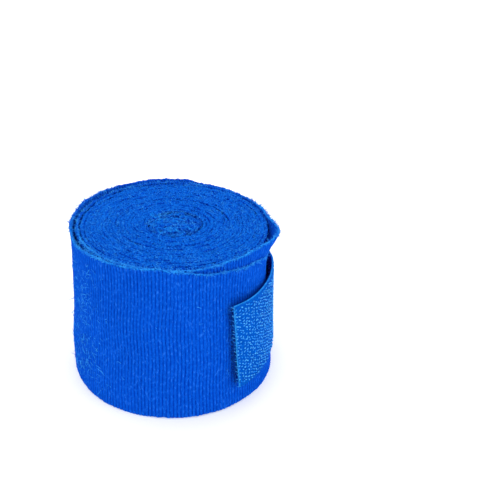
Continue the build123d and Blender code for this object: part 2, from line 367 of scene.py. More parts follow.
class Strip:
    """The surface of a strip of cloth: a closed outline at each station of its path."""

    def __init__(self, path, thickness, bottom, top, rows, arc, crown=1.0):
        share, raised, side = half_outline(np.asarray(rows), arc)
        share, raised = np.concatenate([share, share[::-1]]), np.concatenate([raised, raised[::-1]])
        self.side = np.concatenate([side, -side[::-1]])[None, :]
        half = thickness / 2
        self.path = path
        crown = crown * half  # how far the rounded edges rise
        low, high = (bottom + crown)[:, None], (top - crown)[:, None]
        self.z = low + share[None, :] * (high - low) + raised[None, :] * crown
        self.along = np.broadcast_to(path.along[:, None], self.z.shape)
        self.turns = np.broadcast_to(path.turns[:, None], self.z.shape)
        self.edge = np.abs(raised)[None, :]
        self.wear_and_painted_light = 1.0  # how much of the edges' lighter colour there is: wear, and painted light
        self.out = self.side * half + np.zeros_like(self.z)  # along the path's normal
        self.slip = np.zeros_like(self.z)  # along the strip
        self.radial = np.zeros_like(self.z)  # away from the roll's axis

    def build(self, name, material, twist=None):
        """The strip's object. The twist is a bearing to turn each point by about the roll's axis."""
        points, normals = self.path.points[:, None, :], self.path.normals[:, None, :]
        tangents = np.stack([normals[..., 1], -normals[..., 0]], axis=-1)
        size = np.maximum(np.linalg.norm(points, axis=2, keepdims=True), 1e-6)
        plan = points + normals * self.out[..., None] + tangents * self.slip[..., None]
        plan = plan + points / size * self.radial[..., None]
        if twist is not None:
            angle = np.radians(twist)
            x, y = plan[..., 0], plan[..., 1]
            turned_x = x * np.cos(angle) - y * np.sin(angle)
            turned_y = x * np.sin(angle) + y * np.cos(angle)
            plan = np.stack([turned_x, turned_y], axis=-1)
        placed = np.concatenate([plan, np.maximum(self.z, LOWEST)[..., None]], axis=2)
        pattern = np.stack([self.along, self.z, self.out], axis=-1)
        faces = swept_faces(*self.z.shape)
        edge = np.broadcast_to(self.edge * self.wear_and_painted_light, self.z.shape)
        return quad_object(name, placed.reshape(-1, 3), faces, pattern.reshape(-1, 3), material, edge)


def tubes(name, lines, radii, sides, material):
    """One object of many thin threads. Lines has a row of points for each thread."""
    lines = np.asarray(lines, float)
    count, stations, _ = lines.shape
    along = np.gradient(lines, axis=1)
    along /= np.maximum(np.linalg.norm(along, axis=2, keepdims=True), 1e-9)
    upright = np.where(np.abs(along[..., 2:3]) < 0.8, [0.0, 0.0, 1.0], [1.0, 0.0, 0.0])
    first = np.cross(along, upright)
    first /= np.linalg.norm(first, axis=2, keepdims=True)
    second = np.cross(along, first)
    angle = 2 * pi * (np.arange(sides) + 0.5) / sides
    ring = first[:, :, None] * np.cos(angle)[:, None] + second[:, :, None] * np.sin(angle)[:, None]
    radii = np.broadcast_to(radii, (count, stations))
    points = lines[:, :, None] + ring * radii[:, :, None, None]
    one = swept_faces(stations, sides)
    faces = (one[None] + (np.arange(count) * stations * sides)[:, None, None]).reshape(-1, 4)
    points = points.reshape(-1, 3)
    points[:, 2] = np.maximum(points[:, 2], LOWEST)
    return quad_object(name, points, faces, points, material)


# ------ the band


def knit_surface(strip, ribs=1.0):
    """Ribs, knitted beads along the edges, and the band's own unevenness, added to a strip."""
    along, z = strip.along, strip.z
    phase = np.abs(np.sin(pi * along / RIB_PITCH))
    in_wall = np.clip(1.15 - strip.edge, 0.15, 1)
    uneven = 1 + 0.6 * noise(11, along / 3.1, z / 9) + 0.4 * noise(17, along / 17, z / 21)
    depth = RIB_DEPTH * ribs * np.clip(uneven, 0.2, 2)
    strip.out += np.sign(strip.side) * depth * (phase**0.6 - 1) * in_wall
    strip.slip += 0.33 * noise(12, along / 13, z / 10) * in_wall
    strip.radial += 0.17 * noise(13, along / 15, z / 13) + 0.07 * noise(14, along / 4, z / 6)
    near_edge = strip.edge > 0.1
    beads = np.abs(np.sin(pi * along / 1.05 + 2 * noise(15, along / 6)))
    strip.out += np.where(near_edge, 0.09 * np.sign(strip.side) * beads, 0)
    felted = 0.14 + 0.16 * smooth((20.3 - strip.turns) / 0.1)
    strip.radial += np.where(strip.edge > 0.5, felted * noise(16, along / 0.9, z / 5), 0)
    strip.z += np.where(near_edge, felted * noise(18, along / 1.1, 2.0 * strip.side + z / 3), 0)


def band_strip(path, rows, arc=3, thickness=BAND_THICKNESS, crown=1.0):
    """A stretch of the band with its top and bottom edges and the roll's slumped shape."""
    bottom, top = bottom_edge(path.along), top_edge(path.turns, path.along)
    strip = Strip(path, thickness, bottom, top, rows, arc, crown)
    # Painted shade: the edges' lighter colour is turned down towards the roll's back and left, where the
    # rims are in shade.
    behind = smooth((np.abs(bearing(strip.turns) - 22) - 85) / 40)
    strip.wear_and_painted_light = 1.45 - 1.3 * behind
    strip.radial += slump(strip.turns, strip.z)
    return strip


def turtle(x, y, heading, moves):
    """Points along a line drawn by moves: ("run", length) or ("turn", radius, angle), left positive."""
    spacing = 0.1
    points = [(x, y)]
    for move in moves:
        if move[0] == "run":
            count = max(1, round(move[1] / spacing))
            steps = [(move[1] / count, 0.0)] * count
        else:
            _, radius, angle = move
            count = max(4, round(radius * radians(abs(angle)) / spacing))
            steps = [(radius * radians(abs(angle)) / count, angle / count)] * count
        for forward, swing in steps:
            heading += swing / 2
            x += forward * cos(radians(heading))
            y += forward * sin(radians(heading))
            heading += swing / 2
            points.append((x, y))
    return np.array(points)


def core_moves():
    """The band's folded inner end, from the first turn inwards: rows that fill the circle inside it. The
    last fold is wider, because the thumb loop lies in it."""
    moves = [("turn", 7.4, 75), ("turn", 3.0, 15)]
    x, y = -2.6, -7.25  # where those two bends end
    side = 1
    for row in range(CORE_ROWS):
        reach = max(1.5, (CORE_RADIUS**2 - y * y) ** 0.5 - 1.0)
        moves.append(("run", abs(side * reach - x)))
        x = side * reach
        radius = LOOP_FOLD_RADIUS if row == LOOP_ROW else CORE_FOLD_RADIUS
        if row < CORE_ROWS - 1:
            moves.append(("turn", radius, 180 * side))
        y += 2 * radius
        side = -side
    return moves


def core_path(step):
    """The folded inner end, with the small waves that its elastic gives it."""
    points = turtle(-FIRST_RADIUS, 0, -90, core_moves())
    path = drawn_path(points, step)
    wave = 0.3 * np.sin(2 * pi * path.along / 2.6 + 1.5 * noise(21, path.along / 6))
    settled = smooth(path.along / 8)
    path.points = path.points + path.normals * (wave * settled)[:, None]
    x, y = path.points[:, 0] / CRUMPLE_SIZE, path.points[:, 1] / CRUMPLE_SIZE
    inside = np.clip(1 - (np.hypot(x, y) * CRUMPLE_SIZE / 8.0) ** 4, 0, 1)
    crumple = np.stack([noise(26, x, y), noise(27, x, y)], axis=1)
    path.points = path.points + 1.1 * crumple * (inside * settled)[:, None]
    return path


def core_strip(step):
    """The folded inner end, a little lower than the turns, with its edge going up and down."""
    path = core_path(step)
    top = NEAT_TOP - 0.3 + 0.6 * noise(22, path.along / 2.2)
    bottom = np.full_like(top, 0.6) + 0.3 * noise(23, path.along / 3)
    strip = Strip(path, CORE_THICKNESS, bottom, top, HIDDEN_ROWS, 4, 0.55)
    strip.wear_and_painted_light = 0.85 + 0.5 * noise(29, strip.along / 3.3)
    strip.z += np.where(strip.edge > 0.1, 0.4 * noise(24, strip.along / 0.7, 3 * strip.side), 0)
    strip.out += np.where(strip.edge > 0.1, 0.25 * noise(25, strip.along / 0.8, strip.side), 0)
    return strip


def hem_path(step):
    """The tail's last stretch: the outer layer, the fold at its end, and the hem turned in under it."""
    first = turn_at(TAIL_HINGES[2] - HALF_SECTION, LAST_LAP)
    outer = wound_path(first, END_TURN, 0.2)
    radius = float(middle_radius(END_TURN))
    angle = radians(END_BEARING)
    out, back = np.array([sin(angle), -cos(angle)]), np.array([cos(angle), sin(angle)])
    centre = out * (radius - HEM_FOLD_RADIUS)
    bends = np.linspace(0, pi, 9)[1:-1]
    fold = [centre + HEM_FOLD_RADIUS * (out * cos(bend) - back * sin(bend)) for bend in bends]
    hem_end = END_BEARING + degrees(HEM_DEPTH / TAPE_RADIUS)
    hem_bearings = np.linspace(END_BEARING, hem_end, 60)
    hem = (radius - 2 * HEM_FOLD_RADIUS) * outwards(hem_bearings)
    points = np.concatenate([outer.points, fold, hem])
    hem_turns = turn_at(hem_bearings, LAST_LAP)
    turns = np.concatenate([outer.turns, np.full(len(fold), END_TURN), hem_turns])
    return drawn_path(points, step, turns, Spiral.along(first))


def around(radius, bearings, z):
    """Points at that distance from the roll's axis, at those bearings and heights."""
    angle = np.radians(bearings)
    z = np.broadcast_to(z, angle.shape)
    return np.stack([radius * np.sin(angle), -radius * np.cos(angle), z], axis=-1)


def finish_cloth(node):
    """Hides the CAD nodes that a sheet of cloth stands for."""
    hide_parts(*node)


def finish_band(node):
    """Hides the CAD node that a stretch of the band at its full width stands for."""
    finish_cloth([node])


def build_inside(knit):
    """The folded core and the neat turns on it, of which only the top edges show."""
    core = core_strip(0.3)
    made = core.build("band_core", knit)
    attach(made, "roll")
    finish_cloth(["band_inner_turns"])
    for name, first, last in (
        ("band_turns_inner", 0.0, WOUND_SPLIT),
        ("band_turns_outer", WOUND_SPLIT, OUTER_START),
    ):
        strip = band_strip(wound_path(first, last, HIDDEN_STEP), HIDDEN_ROWS, 4, NEAT_THICKNESS, 0.5)
        strip.wear_and_painted_light = 0.6
        knit_surface(strip, 0.0)
        made = strip.build(name, knit)
        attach(made, "roll")
        finish_band("band_inner_turns")


def build_loose_turns(knit):
    """The two loose outer turns, up to the tail's first section."""
    first_cut = turn_at(TAIL_HINGES[0] + HALF_SECTION, LAST_LAP)
    for name, node, first, last in (
        ("band_second_turn", "band_inner_turns", OUTER_START, LAST_START),
        ("band_last_turn", "band_outer_turn", LAST_START, first_cut),
    ):
        strip = band_strip(wound_path(first, last, WALL_STEP), WALL_ROWS)
        knit_surface(strip)
        made = strip.build(name, knit)
        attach(made, "roll")
        finish_band(node)


def build_tail(knit):
    """The sections of the tail, each centred on one hinge, and its sewn end with the hem."""
    for i, hinge in enumerate(TAIL_HINGES[:3]):
        start, end = hinge + HALF_SECTION, hinge - HALF_SECTION
        path = wound_path(turn_at(start, LAST_LAP), turn_at(end, LAST_LAP), WALL_STEP)
        strip = band_strip(path, WALL_ROWS)
        knit_surface(strip)
        made = strip.build(f"band_tail_{i + 1}", knit)
        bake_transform(made)
        finish_band(f"tail_section_{i + 1}")

    strip = band_strip(hem_path(WALL_STEP), WALL_ROWS)
    knit_surface(strip, 0.8)
    made = strip.build("band_tail_end", knit)
    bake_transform(made)
    finish_band("tail_hem_end")


# ------ the hook tape


def tape_gap(bearing_there, z):
    """The space between the last turn and the tape: closed at its root, open where its hooks hold, and
    wider again at the free tip."""
    on_hooks = smooth((END_BEARING - 2 - bearing_there) / 14)
    free_tip = smooth((62 - bearing_there) / 28)
    corner = 0.25 * smooth((18 - z) / 10)
    pressed = 0.6 * smooth((18 - z) / 9) * bump_at(bearing_there, 86, 40)
    return 0.12 + 0.8 * on_hooks * (1 - pressed) + free_tip * (0.85 + corner)


def tape_path(first, last, step):
    """Stations along the hook tape between two bearings."""
    start = (ROOT_BEARING - first) * pi / 180 * TAPE_RADIUS
    length = abs(first - last) * pi / 180 * TAPE_RADIUS
    count = max(2, round(length / step)) + 1
    bearings = np.linspace(first, last, count)
    turns = turn_at(bearings, TAPE_LAP)
    outward = outwards(bearings)
    radius = middle_radius(turns) + HALF_BAND + HALF_TAPE
    return Path(outward * radius[:, None], outward, np.linspace(start, start + length, count), turns)


def tape_twist(bearings, z, first, last):
    """The tip is cut at a slant: the last section's points are turned back, more at its foot."""
    share = np.clip((first - bearings) / (first - last), 0, 1)
    return TIP_SLANT * share * np.clip((TAPE_TOP - z) / (TAPE_TOP - TAPE_BOTTOM), 0, 1)


def tape_strip(first, last):
    """A stretch of the tape, lying over the last turn's slumped shape."""
    path = tape_path(first, last, 0.35)
    wander = 0.12 * noise(31, path.along / 9)
    strip = Strip(path, TAPE_THICKNESS, TAPE_BOTTOM + wander, TAPE_TOP + wander, np.linspace(0, 1, 61), 2)
    bearings = bearing(strip.turns)
    strip.radial += slump(strip.turns, strip.z, 0.0) + tape_gap(bearings, strip.z)
    strip.radial += 0.1 * noise(32, strip.along / 8, strip.z / 9)
    from_edge = np.minimum(strip.z - TAPE_BOTTOM, TAPE_TOP - strip.z)
    selvage = smooth((from_edge - 1.2) / 0.8)
    weave = np.abs(np.sin(pi * strip.z / 1.1)) * np.abs(np.sin(pi * strip.along / 0.9))
    strip.out += np.sign(strip.side) * 0.06 * selvage * (weave - 0.5)
    return strip


def place_on_tape(bearings, z, off, first, last):
    """Points at a distance from the tape's middle surface, positive outwards."""
    turns = turn_at(bearings, TAPE_LAP)
    radius = middle_radius(turns) + slump(turns, z, 0.0) + HALF_BAND + HALF_TAPE
    radius = radius + tape_gap(bearings, z) + off
    turned = bearings + (tape_twist(bearings, z, first, last) if last == TIP_BEARING else 0)
    return around(radius, turned, z)


def scattered(first, last, margin, pitch, rng):
    """Staggered places over a stretch of tape, a little shaken: bearings and heights."""
    low, high = TAPE_BOTTOM + margin, TAPE_TOP - margin
    step = degrees(pitch / TAPE_RADIUS)
    bearings, heights = np.meshgrid(np.arange(last + step * 0.4, first, step), np.arange(low, high, pitch))
    heights = heights + pitch / 2 * (np.arange(bearings.shape[1]) % 2)[None, :]
    bearings = bearings + rng.uniform(-0.25, 0.25, bearings.shape) * step
    heights = heights + rng.uniform(-0.25, 0.25, heights.shape) * pitch
    keep = (heights > low) & (heights < high)
    return bearings[keep], heights[keep]


def tape_flecks(first, last, rng):
    """The backs of the hooks' yarns, short light stitches on the tape's outer face: a row of points each."""
    bearings, heights = scattered(first, last, 0.9, YARN_PITCH, rng)
    lean = rng.choice([-0.6, 0.6], bearings.shape) + rng.uniform(-0.5, 0.5, bearings.shape)
    reach = rng.uniform(0.26, 0.46, bearings.shape)
    stations = []
    for share in np.linspace(-1, 1, 4):
        b = bearings + DEGREES_ON_TAPE * reach * share * np.cos(lean)
        z = heights + reach * share * np.sin(lean)
        stations.append(place_on_tape(b, z, HALF_TAPE + 0.14 - 0.12 * share * share, first, last))
    return np.stack(stations, axis=1)


def tape_hooks(first, last, rng):
    """The hooks on the tape's inner face: a row of points for each."""
    bearings, heights = scattered(first, last, 1.2, HOOK_PITCH, rng)
    way = rng.uniform(-0.4, 0.4, bearings.shape)
    stations = []
    for depth, bend in ((0.0, 0.0), (0.3, 0.0), (0.55, 0.08), (0.78, 0.3), (0.66, 0.5)):
        b = bearings - DEGREES_ON_TAPE * bend * 0.7
        stations.append(place_on_tape(b, heights + bend * way, -HALF_TAPE - depth, first, last))
    return np.stack(stations, axis=1)


def tip_fringe(rng):
    """The tip's own hooks, which are longer and lean out past the cut: dark threads that stand for the
    painted shade in the hollow beside the tip.
    """
    heights = np.arange(TAPE_BOTTOM + 0.5, TAPE_TOP - 0.5, 0.26)
    lean = rng.uniform(0.2, 1.3, heights.shape)
    way = rng.uniform(-0.5, 0.5, heights.shape)
    stations = []
    for share in np.linspace(0, 1, 5):
        b = TIP_BEARING + 0.8 - DEGREES_AT_TIP * (0.5 + lean) * share
        off = -HALF_TAPE - 1.3 * share**0.7
        stations.append(place_on_tape(b, heights + way * share, off, TIP_BEARING + 1, TIP_BEARING))
    return np.stack(stations, axis=1)


def tip_spikes(rng):
    """Ends of cut yarns that stick out of the tape's slanted tip."""
    heights = np.arange(TAPE_BOTTOM + 0.6, TAPE_TOP - 0.4, 1.2)
    heights = heights + rng.uniform(-0.4, 0.4, heights.shape)
    reach = rng.uniform(0.35, 1.0, heights.shape)
    way = rng.uniform(-0.5, 0.5, heights.shape)
    stations = []
    for share in np.linspace(0, 1, 4):
        b = TIP_BEARING + 0.3 - DEGREES_AT_TIP * reach * share
        off = 0.1 - 0.7 * share**2
        stations.append(place_on_tape(b, heights + way * share, off, TIP_BEARING + 1, TIP_BEARING))
    return np.stack(stations, axis=1)


def tape_cloth(name, first, last, material):
    """One section of the tape's cloth and its length in metres. The last one has the slanted tip, with the
    edges' painted highlight along its cut.
    """
    strip = tape_strip(first, last)
    twist = None
    if last == TIP_BEARING:
        bearings = bearing(strip.turns)
        # Painted highlight: the cut tip gets the edges' lighter colour.
        strip.edge = np.maximum(strip.edge, smooth(1.3 - (bearings - last) / 0.6))
        twist = tape_twist(bearings, strip.z, first, last)
    return strip.build(name, material, twist), strip.path.length


def tape_pile(name, first, last, material, rng):
    """The hooks of one section, with the fringe at the tip, in the dark material that paints the shade under
    the tape.
    """
    lines = tape_hooks(first, last, rng)
    if last == TIP_BEARING:
        lines = np.concatenate([lines, tip_fringe(rng)])
    return tubes(name, lines, np.array([0.1, 0.1, 0.1, 0.09, 0.06]), 4, material)


def tape_backs(name, first, last, material, rng):
    """The yarns on the back of one section, with the cut ends at the tip."""
    lines = tape_flecks(first, last, rng)
    radii = np.array([0.11, 0.2, 0.2, 0.11])[None, :] * rng.uniform(0.75, 1.25, (len(lines), 1))
    if last == TIP_BEARING:
        spikes = tip_spikes(rng)
        lines = np.concatenate([lines, spikes])
        radii = np.concatenate([radii, np.full(spikes.shape[:2], 0.085)])
    return tubes(name, lines, radii, 4, material)


def build_tape(tape, hooks, yarns):
    """The hook tape in three sections, each holding one hinge, with its hooks and its back's yarns."""
    rng = np.random.default_rng(41)
    hinge_1, hinge_2, hinge_3 = TAB_HINGES
    cuts = [ROOT_BEARING, (hinge_1 + hinge_2) / 2, (hinge_2 + hinge_3) / 2, TIP_BEARING]
    flex = [(END_BEARING, cuts[1]), (cuts[1], cuts[2]), (cuts[2], 2 * hinge_3 - cuts[2])]
    for i, (start, end) in enumerate(flex):
        first, last = cuts[i], cuts[i + 1]
        free_from = END_BEARING - 3 if i == 0 else first
        cloth, length = tape_cloth(f"hook_tape_{i + 1}", first, last, tape)
        pile = tape_pile(f"hooks_{i + 1}", free_from, last, hooks, rng)
        backs = tape_backs(f"tape_yarns_{i + 1}", free_from, last, yarns, rng)
        for made in (cloth, pile, backs):
            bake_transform(made)
        nodes = [f"hook_tape_section_{i + 1}"] + (["hook_tape_root"] if i == 0 else [])
        finish_cloth(nodes)
        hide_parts(f"hook_pile_{i + 1}")


# ------ thread, loop and loose fibres


def on_tail(bearings, z, off):
    """Points at a distance from the outer face of the tail."""
    turns = turn_at(bearings, LAST_LAP)
    radius = middle_radius(turns) + slump(turns, z) + HALF_BAND + off
    return around(radius, bearings, z)


def build_stitches(thread):
    """The box of stitches that holds the band's end, its hem and the hook tape together."""
    per_mm = DEGREES_ON_TAIL
    start, end = HEM_FLEX[1] - 1.0, END_BEARING + 2.5 * per_mm  # the box's two sides
    low, high = 5.8, 43.0
    stitch, pitch = 2.3, 3.1
    share = np.linspace(0, 1, 6)
    dip = np.array([-0.3, 0.05, 0.12, 0.12, 0.05, -0.3])
    lines = []
    for column in (start, end):
        for z in np.arange(low + 0.4, high - stitch, pitch):
            lines.append(on_tail(np.full(6, column), z + stitch * share, dip))
    for row in (low, high):
        for b in np.arange(end + 0.4 * per_mm, start - stitch * per_mm, pitch * per_mm):
            lines.append(on_tail(b + stitch * per_mm * share, row, dip))
    radii = np.array([0.12, 0.2, 0.23, 0.23, 0.2, 0.12])
    made = tubes("box_stitches", np.array(lines), radii[None, :], 6, thread)
    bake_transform(made)
    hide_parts("box_stitching")


def build_thumb_loop(loop_tape, thread):
    """The thumb loop, folded flat in the core, and the bars of thread across its sewn end."""
    low, high = (corner[2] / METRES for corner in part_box("thumb_loop"))
    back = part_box("thumb_loop")[1][1] / METRES
    points = turtle(3.4, back - 0.75, 180, [("run", 6.4), ("turn", 0.3, -180), ("run", 6.4)])
    path = drawn_path(points, 0.3)
    flat = np.ones_like(path.along)
    strip = Strip(path, 0.42, low * flat, high * flat, np.linspace(0, 1, 15), 2)
    strip.out += np.sign(strip.side) * 0.03 * np.sin(2 * pi * strip.z / 0.8)
    made = strip.build("thumb_loop_tape", loop_tape)
    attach(made, "roll")
    finish_cloth(["thumb_loop"])

    middle = (low + high) / 2
    share = np.linspace(-1, 1, 25)
    lines = []
    for i in range(3):
        x = 1.8 + 0.8 * i + 0.16 * np.cos(np.arange(25) * pi)
        lines.append(np.stack([x, np.full(25, back - 0.95), middle + 3.8 * share], axis=1))
    made = tubes("thumb_loop_bars", np.array(lines), np.full((1, 25), 0.12), 6, thread)
    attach(made, "roll")
    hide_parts("thumb_loop_bartack")


def fibres(places, directions, lengths, rng, curl=0.35):
    """Curved fibres from their roots: a row of points for each."""
    sideways = rng.normal(size=places.shape)
    share = np.linspace(0, 1, 4)[None, :, None]
    reach = lengths[:, None, None] * share
    return places[:, None] + directions[:, None] * reach + sideways[:, None] * reach * share * curl


def radial_places(turns, z):
    """The outward direction at places on the band, and points in the middle of its thickness there."""
    radius = middle_radius(turns) + slump(turns, z)
    return around(1.0, bearing(turns), 0.0), around(radius, bearing(turns), z)


def add_fuzz(name, places, outward, fuzz, rng):
    """Loose fibres that stand out of the band's top edge at those places."""
    directions = 0.6 * outward + rng.normal(0, 0.7, places.shape) + [0, 0, 0.45]
    directions /= np.linalg.norm(directions, axis=1, keepdims=True)
    count = len(places)
    radii = np.array([0.075, 0.07, 0.055, 0.02])[None, :] * rng.uniform(0.6, 1.2, (count, 1))
    lines = fibres(places, directions, rng.uniform(0.3, 0.9, count), rng)
    made = tubes(name, lines, radii, 4, fuzz)
    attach(made, "roll")


def edge_fuzz(fuzz, rng):
    """Loose fibres along the neat turns' top edges and on the rims of the loose turns."""
    neat = np.sqrt(rng.uniform(0.2, 20.25**2, NEAT_FIBRES))
    loose = rng.uniform(20.25, 22.15, RIM_FIBRES)
    for name, turns in (("edge_fibres", neat), ("rim_fibres", loose)):
        side = rng.uniform(-1, 1, turns.shape)
        along = np.interp(turns, Spiral.turns, Spiral.lengths)
        outward, middles = radial_places(turns, top_edge(turns, along) - 0.08 - 0.3 * side**2)
        places = middles + outward * side[:, None] * HALF_BAND
        add_fuzz(name, places, outward * side[:, None], fuzz, rng)


def core_fuzz(fuzz, rng):
    """Loose fibres on the top of the folded core."""
    angle = rng.uniform(0, 2 * pi, CORE_FIBRES)
    radius = 8.6 * np.sqrt(rng.uniform(0, 1, CORE_FIBRES))
    height = rng.uniform(48.4, 48.9, CORE_FIBRES)
    places = np.stack([radius * np.cos(angle), radius * np.sin(angle), height], axis=1)
    add_fuzz("core_fibres", places, np.zeros_like(places), fuzz, rng)


def wall_fuzz(fuzz, rng):
    """Loose fibres that lie flat on the wall, most of them in a rubbed stripe at the left."""
    stripe = rng.normal(21.925, 0.032, WALL_FIBRES - STRAY_FIBRES)
    turns = np.concatenate([stripe, rng.uniform(21.55, 22.14, STRAY_FIBRES)])
    outward, middles = radial_places(turns, rng.uniform(3, 45, WALL_FIBRES))
    places = middles + outward * (HALF_BAND - 0.02)
    directions = rng.normal(0, 1, (WALL_FIBRES, 3))
    off_wall = np.sum(directions * outward, axis=1, keepdims=True)
    directions += outward * (0.12 - off_wall)
    directions /= np.linalg.norm(directions, axis=1, keepdims=True)
    lines = fibres(places, directions, rng.uniform(0.6, 2.0, WALL_FIBRES), rng, 0.2)
    made = tubes("wall_fibres", lines, np.array([0.09, 0.08, 0.06, 0.02]), 4, fuzz)
    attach(made, "roll")


# ------ materials


def fill(node, name, value):
    """Wires another node's output to an input, or sets the input's value."""
    if isinstance(value, bpy.types.NodeSocket):
        node.id_data.links.new(value, node.inputs[name])
    else:
        node.inputs[name].default_value = value


def nodes_of(material):
    """The material's principled shader and a function that adds and wires a node. An input is named, or
    numbered as i0, i1 and so on."""
    material.use_nodes = True
    tree = material.node_tree

    def add(kind, settings=None, **inputs):
        node = tree.nodes.new(kind)
        for key, value in (settings or {}).items():
            setattr(node, key, value)
        for key, value in inputs.items():
            fill(node, int(key[1:]) if key[1:].isdigit() else key, value)
        return node

    return tree.nodes["Principled BSDF"], add


def mixed(add, share, first, second):
    """A colour between two, by a share."""
    return add("ShaderNodeMix", {"data_type": "RGBA"}, i0=share, i6=first, i7=second).outputs[2]


def math(add, operation, first, second=0.0):
    """The result of a Math node."""
    return add("ShaderNodeMath", {"operation": operation}, i0=first, i1=second).outputs[0]


def times(add, first, second):
    """The product of two values."""
    return math(add, "MULTIPLY", first, second)


def plus(add, first, second):
    """The sum of two values."""
    return math(add, "ADD", first, second)


def ranged(add, value, low, high, to_low=0.0, to_high=1.0):
    """A value moved from one range to another and kept inside it."""
    return add("ShaderNodeMapRange", None, i0=value, i1=low, i2=high, i3=to_low, i4=to_high).outputs[0]


def scaled(add, place, factors):
    """A place with each of its parts multiplied."""
    return add("ShaderNodeVectorMath", {"operation": "MULTIPLY"}, i0=place, i1=factors).outputs[0]


def clouds(add, place, scale, detail, **more):
    """Soft noise at a place."""
    return add("ShaderNodeTexNoise", None, Vector=place, Scale=scale, Detail=detail, **more).outputs[0]


def strip_place(add):
    """A point's place on the flat strip."""
    return add("ShaderNodeAttribute", {"attribute_name": "strip"}).outputs["Vector"]


def strip_edge(add):
    """How near a point is to a strip's edge, times how much of the edges' lighter colour it gets: less
    towards the roll's back and left, as painted shade.
    """
    return add("ShaderNodeAttribute", {"attribute_name": "edge"}).outputs["Fac"]


def relief(add, height, strength, distance):
    """The surface's direction with fine relief from a height."""
    return add("ShaderNodeBump", None, Strength=strength, Distance=distance, Height=height).outputs[0]


GROOVE_SHADE_BLUE = (0.0, 0.026, 0.39, 1)
RIB_BLUE = (0.002, 0.107, 0.71, 1)
PATCH_BLUE = (0.001, 0.072, 0.60, 1)
NAP_BLUE = (0.026, 0.20, 0.88, 1)
EDGE_BLUE = (0.009, 0.26, 0.84, 1)
PIT_SHADE_BLUE = (0.0, 0.03, 0.36, 1)
RIM_BLUE = (0.026, 0.33, 0.93, 1)


def knit_colour(add, rib, nap, beads, patches):
    """The knit's blue, with painted shade: darker in its rib grooves, lighter on its crests and stitch
    beads, and darker in hollows along its edges. It is lighter on its nap and its rubbed edges.
    """
    edge = strip_edge(add)
    # Painted shade: darker in the rib grooves, lighter on the rib crests and the stitch beads' tops; the nap
    # adds its own tone.
    shade = times(add, ranged(add, rib, 0.05, 0.75), 0.6)
    shade = plus(add, shade, times(add, ranged(add, nap, 0.38, 0.62), 0.4))
    shade = plus(add, shade, times(add, ranged(add, beads, 0.7, 0.1), 0.15))
    colour = mixed(add, shade, GROOVE_SHADE_BLUE, RIB_BLUE)
    colour = mixed(add, ranged(add, patches, 0.35, 0.7, 0.0, 0.3), colour, PATCH_BLUE)
    colour = mixed(add, ranged(add, nap, 0.56, 0.7, 0.0, 0.65), colour, NAP_BLUE)
    # The edges' lighter colour from wear, left out at the roll's back and left as painted shade.
    wear_and_painted_light = times(add, ranged(add, edge, 0.2, 1.0), ranged(add, nap, 0.4, 0.55, 0.15, 0.75))
    colour = mixed(add, wear_and_painted_light, colour, EDGE_BLUE)
    # Painted shade in the nap's low hollows along the edges.
    pit_shade = times(add, ranged(add, edge, 0.15, 0.45), ranged(add, nap, 0.48, 0.36, 0.0, 0.7))
    colour = mixed(add, pit_shade, colour, PIT_SHADE_BLUE)
    # The lightest rim colour needs an edge value above 1, so it shows towards the front; its lack at the
    # back and left is painted shade.
    rim = times(add, ranged(add, edge, 1.0, 1.4), ranged(add, nap, 0.42, 0.56, 0.1, 1.0))
    return mixed(add, rim, colour, RIM_BLUE)


def knit_material():
    """Royal-blue elastic knit: ribs, beads of stitches and a fibrous nap, in patches of two blues."""
    material = bpy.data.materials.new("blue_knit")
    shader, add = nodes_of(material)
    place = strip_place(add)
    parts = add("ShaderNodeSeparateXYZ", None, i0=place)
    rib = math(add, "SINE", times(add, parts.outputs[0], pi / RIB_PITCH))
    rib = math(add, "ABSOLUTE", rib)
    patches = clouds(add, place, 0.11, 3.0)
    nap = clouds(add, scaled(add, place, (2.0, 0.75, 2.0)), 1.0, 4.0, Roughness=0.65)
    stitches = scaled(add, place, (1.6, 1.15, 1.6))
    beads = add("ShaderNodeTexVoronoi", None, Vector=stitches, Scale=1.0, Randomness=0.55).outputs[0]
    fill(shader, "Base Color", knit_colour(add, rib, nap, beads, patches))
    fill(shader, "Roughness", ranged(add, nap, 0.3, 0.7, 0.8, 0.98))
    height = plus(add, times(add, nap, 0.9), times(add, beads, -0.5))
    fill(shader, "Normal", relief(add, height, 0.9, 0.0006))
    fill(shader, "Specular IOR Level", 0.006)
    fill(shader, "Sheen Weight", 0.06)
    fill(shader, "Sheen Roughness", 0.5)
    fill(shader, "Sheen Tint", (0.0, 0.28, 1.0, 1))
    return material


def tape_material():
    """Azure woven nylon: a fine even weave, with a painted highlight along its edges and its cut tip."""
    material = bpy.data.materials.new("azure_tape")
    shader, add = nodes_of(material)
    place = strip_place(add)
    parts = add("ShaderNodeSeparateXYZ", None, i0=place)
    across = math(add, "SINE", times(add, parts.outputs[0], 2 * pi / 0.62))
    down = math(add, "SINE", times(add, parts.outputs[1], 2 * pi / 0.5))
    weave = times(add, across, down)
    grain = clouds(add, place, 1.5, 4.0, Roughness=0.65)
    shade = plus(add, ranged(add, weave, -1.0, 1.0, 0.0, 0.35), ranged(add, grain, 0.3, 0.7, 0.0, 0.65))
    colour = mixed(add, shade, (0.0, 0.048, 0.35, 1), (0.0013, 0.125, 0.63, 1))
    edge = strip_edge(add)
    # Painted highlight along the tape's rounded edges and its cut tip.
    wear_and_painted_light = times(add, ranged(add, edge, 0.3, 1.0), ranged(add, grain, 0.35, 0.6, 0.25, 0.9))
    colour = mixed(add, wear_and_painted_light, colour, (0.03, 0.40, 0.97, 1))
    fill(shader, "Base Color", colour)
    fill(shader, "Roughness", ranged(add, grain, 0.3, 0.7, 0.5, 0.72))
    fill(shader, "Normal", relief(add, plus(add, times(add, weave, 0.3), grain), 0.6, 0.0002))
    fill(shader, "Specular IOR Level", 0.004)
    return material


